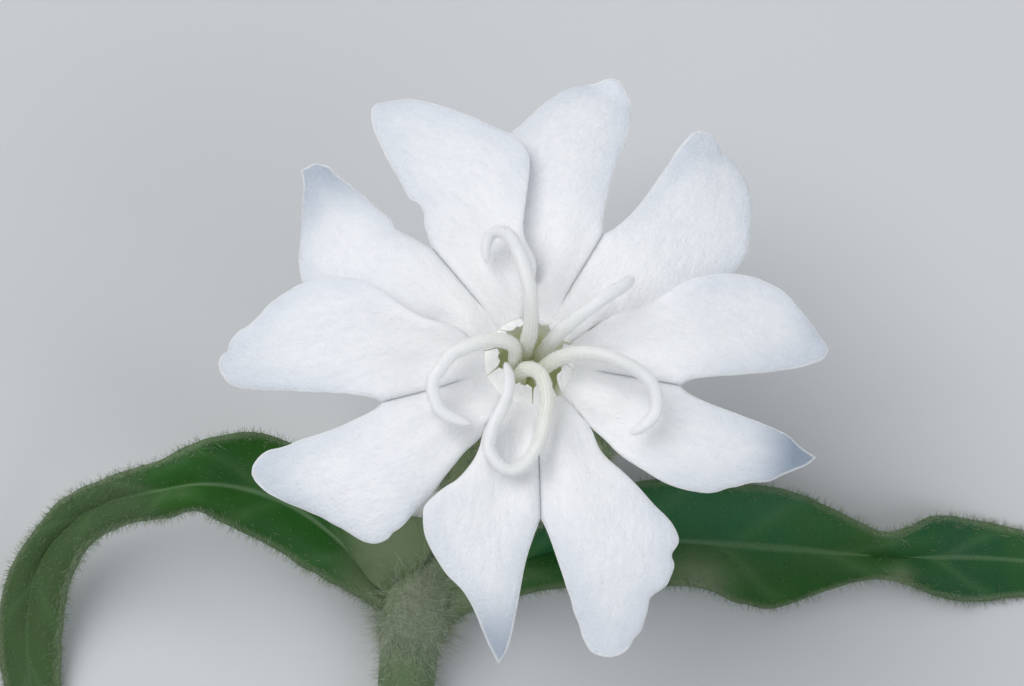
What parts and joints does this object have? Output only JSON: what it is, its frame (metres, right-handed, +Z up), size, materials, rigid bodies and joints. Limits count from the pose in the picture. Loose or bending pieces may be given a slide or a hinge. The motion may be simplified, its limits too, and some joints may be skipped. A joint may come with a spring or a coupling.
{
  "type": "white campion flower, cut",
  "caption": "White campion flower on a cut, hairy stem with leaves, lying on a surface with the bloom facing up: notched white petals, ribbed green calyx, curled styles.",
  "frame": {"origin": "on the surface that the cut flower lies on, under the middle of its bounding box", "axes": "+Z up, out of the surface; the stem lies along -Y from the bloom to its cut end, and the bloom, at the +Y end, faces up"},
  "size_m": [0.0684, 0.1053, 0.027],
  "materials": {
    "petal_white": "satin",
    "pistil_pale_green": "satin",
    "calyx_green": "matte",
    "stem_green": "matte",
    "leaf_green": "matte"
  },
  "bodies": {
    "root": {"petal_upper_right": "petal_white", "petal_upper_left": "petal_white", "petal_left": "petal_white", "petal_lower": "petal_white", "petal_right": "petal_white", "pistil": "pistil_pale_green", "calyx": "calyx_green", "stem": "stem_green", "leaf_right": "leaf_green", "leaf_left": "leaf_green"}
  },
  "joints": []
}
